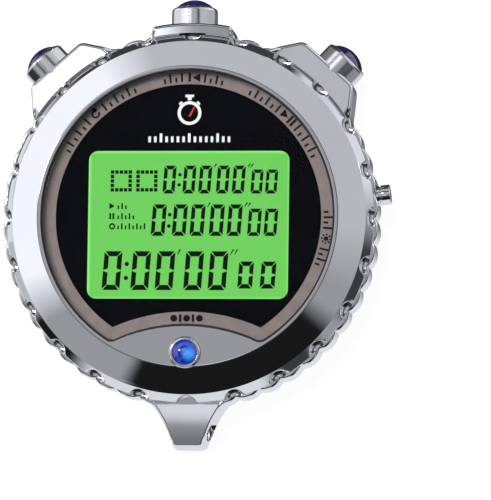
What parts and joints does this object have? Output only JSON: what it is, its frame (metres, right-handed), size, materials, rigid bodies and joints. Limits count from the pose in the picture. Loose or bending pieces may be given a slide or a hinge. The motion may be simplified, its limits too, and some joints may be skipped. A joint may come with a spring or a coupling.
{
  "type": "stopwatch",
  "caption": "Hand-held digital stopwatch: round chromed case with knurled edge, push buttons, backlit display and a lug for a lanyard.",
  "frame": {"origin": "on the dial axis at the flat rear face of the back cover, mount case_back", "axes": "+Z out of the dial, +Y from the dial axis to the recall button, +X to the light button"},
  "size_m": [0.0636, 0.0743, 0.014],
  "materials": {
    "chrome_case": "polished chrome plating on a zinc casting",
    "chrome_bezel": "mirror polished chrome plating",
    "chrome_button": "polished chrome plating on turned brass",
    "gasket_rubber": "satin black rubber",
    "window_glass": "clear flat mineral glass",
    "dial_print": "taupe metallic print with brushed rays",
    "dial_black": "gloss black",
    "polariser": "clear film, satin",
    "lcd_glass": "clear",
    "backlight": "lit green diffuser",
    "zebra_rubber": "matte striped rubber",
    "white_plastic": "moulded matte",
    "board_green": "solder mask",
    "epoxy": "glossy black resin",
    "nickel": "nickel plate",
    "ceramic_chip": "matte with tinned ends",
    "contact_brass": "gold flashed spring brass",
    "battery_steel": "satin nickel can",
    "spring_steel": "bright drawn wire",
    "stem_steel": "turned stainless steel",
    "cover_steel": "radially brushed stainless steel",
    "screw_steel": "turned steel",
    "blue_stone": "polished blue cabochon",
    "navy_stone": "polished dark blue cabochon"
  },
  "bodies": {
    "case": {"mid_case": "chrome_case", "front_bezel": "chrome_bezel", "lens_gasket": "gasket_rubber", "lens": "window_glass", "dial_ring": "dial_print", "dial_plate": "dial_black", "lcd_film": "polariser", "lcd_cell": "lcd_glass", "backlight_panel": "backlight", "zebra_strips": "zebra_rubber", "module_frame": "white_plastic", "circuit_board": "board_green", "chip_cover": "epoxy", "quartz_can": "nickel", "board_components": "ceramic_chip", "switch_contacts": "contact_brass", "battery": "battery_steel", "battery_clip": "contact_brass", "battery_contact": "contact_brass", "board_screws": "screw_steel", "back_cover": "cover_steel", "back_gasket": "gasket_rubber", "back_screws": "screw_steel", "buzzer_disc": "contact_brass", "buzzer_springs": "spring_steel", "lap_spring": "spring_steel", "recall_spring": "spring_steel", "start_spring": "spring_steel", "light_spring": "spring_steel", "mode_spring": "spring_steel"},
    "lap_button": {"lap_cap": "chrome_button", "lap_cabochon": "navy_stone", "lap_stem": "stem_steel", "lap_seal": "gasket_rubber", "lap_clip": "spring_steel"},
    "recall_button": {"recall_cap": "chrome_button", "recall_cabochon": "navy_stone", "recall_stem": "stem_steel", "recall_seal": "gasket_rubber", "recall_clip": "spring_steel"},
    "start_button": {"start_cap": "chrome_button", "start_cabochon": "navy_stone", "start_stem": "stem_steel", "start_seal": "gasket_rubber", "start_clip": "spring_steel"},
    "light_button": {"light_cap": "chrome_button", "light_seal": "gasket_rubber", "light_clip": "spring_steel"},
    "mode_button": {"mode_cap": "chrome_button", "mode_cabochon": "blue_stone", "mode_seal": "gasket_rubber", "mode_clip": "spring_steel"}
  },
  "joints": [
    {"name": "lap_push", "type": "slide", "parent": "case", "child": "lap_button", "axis": [0.6896, -0.7242, 0], "range_m": [0, 0.001], "stiffness_N_per_m": 600, "springref_m": -0.002, "deforming": ["lap_spring"]},
    {"name": "recall_push", "type": "slide", "parent": "case", "child": "recall_button", "axis": [0, -1, 0], "range_m": [0, 0.001], "stiffness_N_per_m": 600, "springref_m": -0.002, "deforming": ["recall_spring"]},
    {"name": "start_push", "type": "slide", "parent": "case", "child": "start_button", "axis": [-0.6896, -0.7242, 0], "range_m": [0, 0.001], "stiffness_N_per_m": 600, "springref_m": -0.002, "deforming": ["start_spring"]},
    {"name": "light_push", "type": "slide", "parent": "case", "child": "light_button", "axis": [-0.9914, -0.1305, 0], "range_m": [0, 0.0008], "stiffness_N_per_m": 600, "springref_m": -0.002, "deforming": ["light_spring"]},
    {"name": "mode_push", "type": "slide", "parent": "case", "child": "mode_button", "axis": [0, 0, -1], "range_m": [0, 0.0006], "stiffness_N_per_m": 600, "springref_m": -0.002, "deforming": ["mode_spring"]}
  ]
}
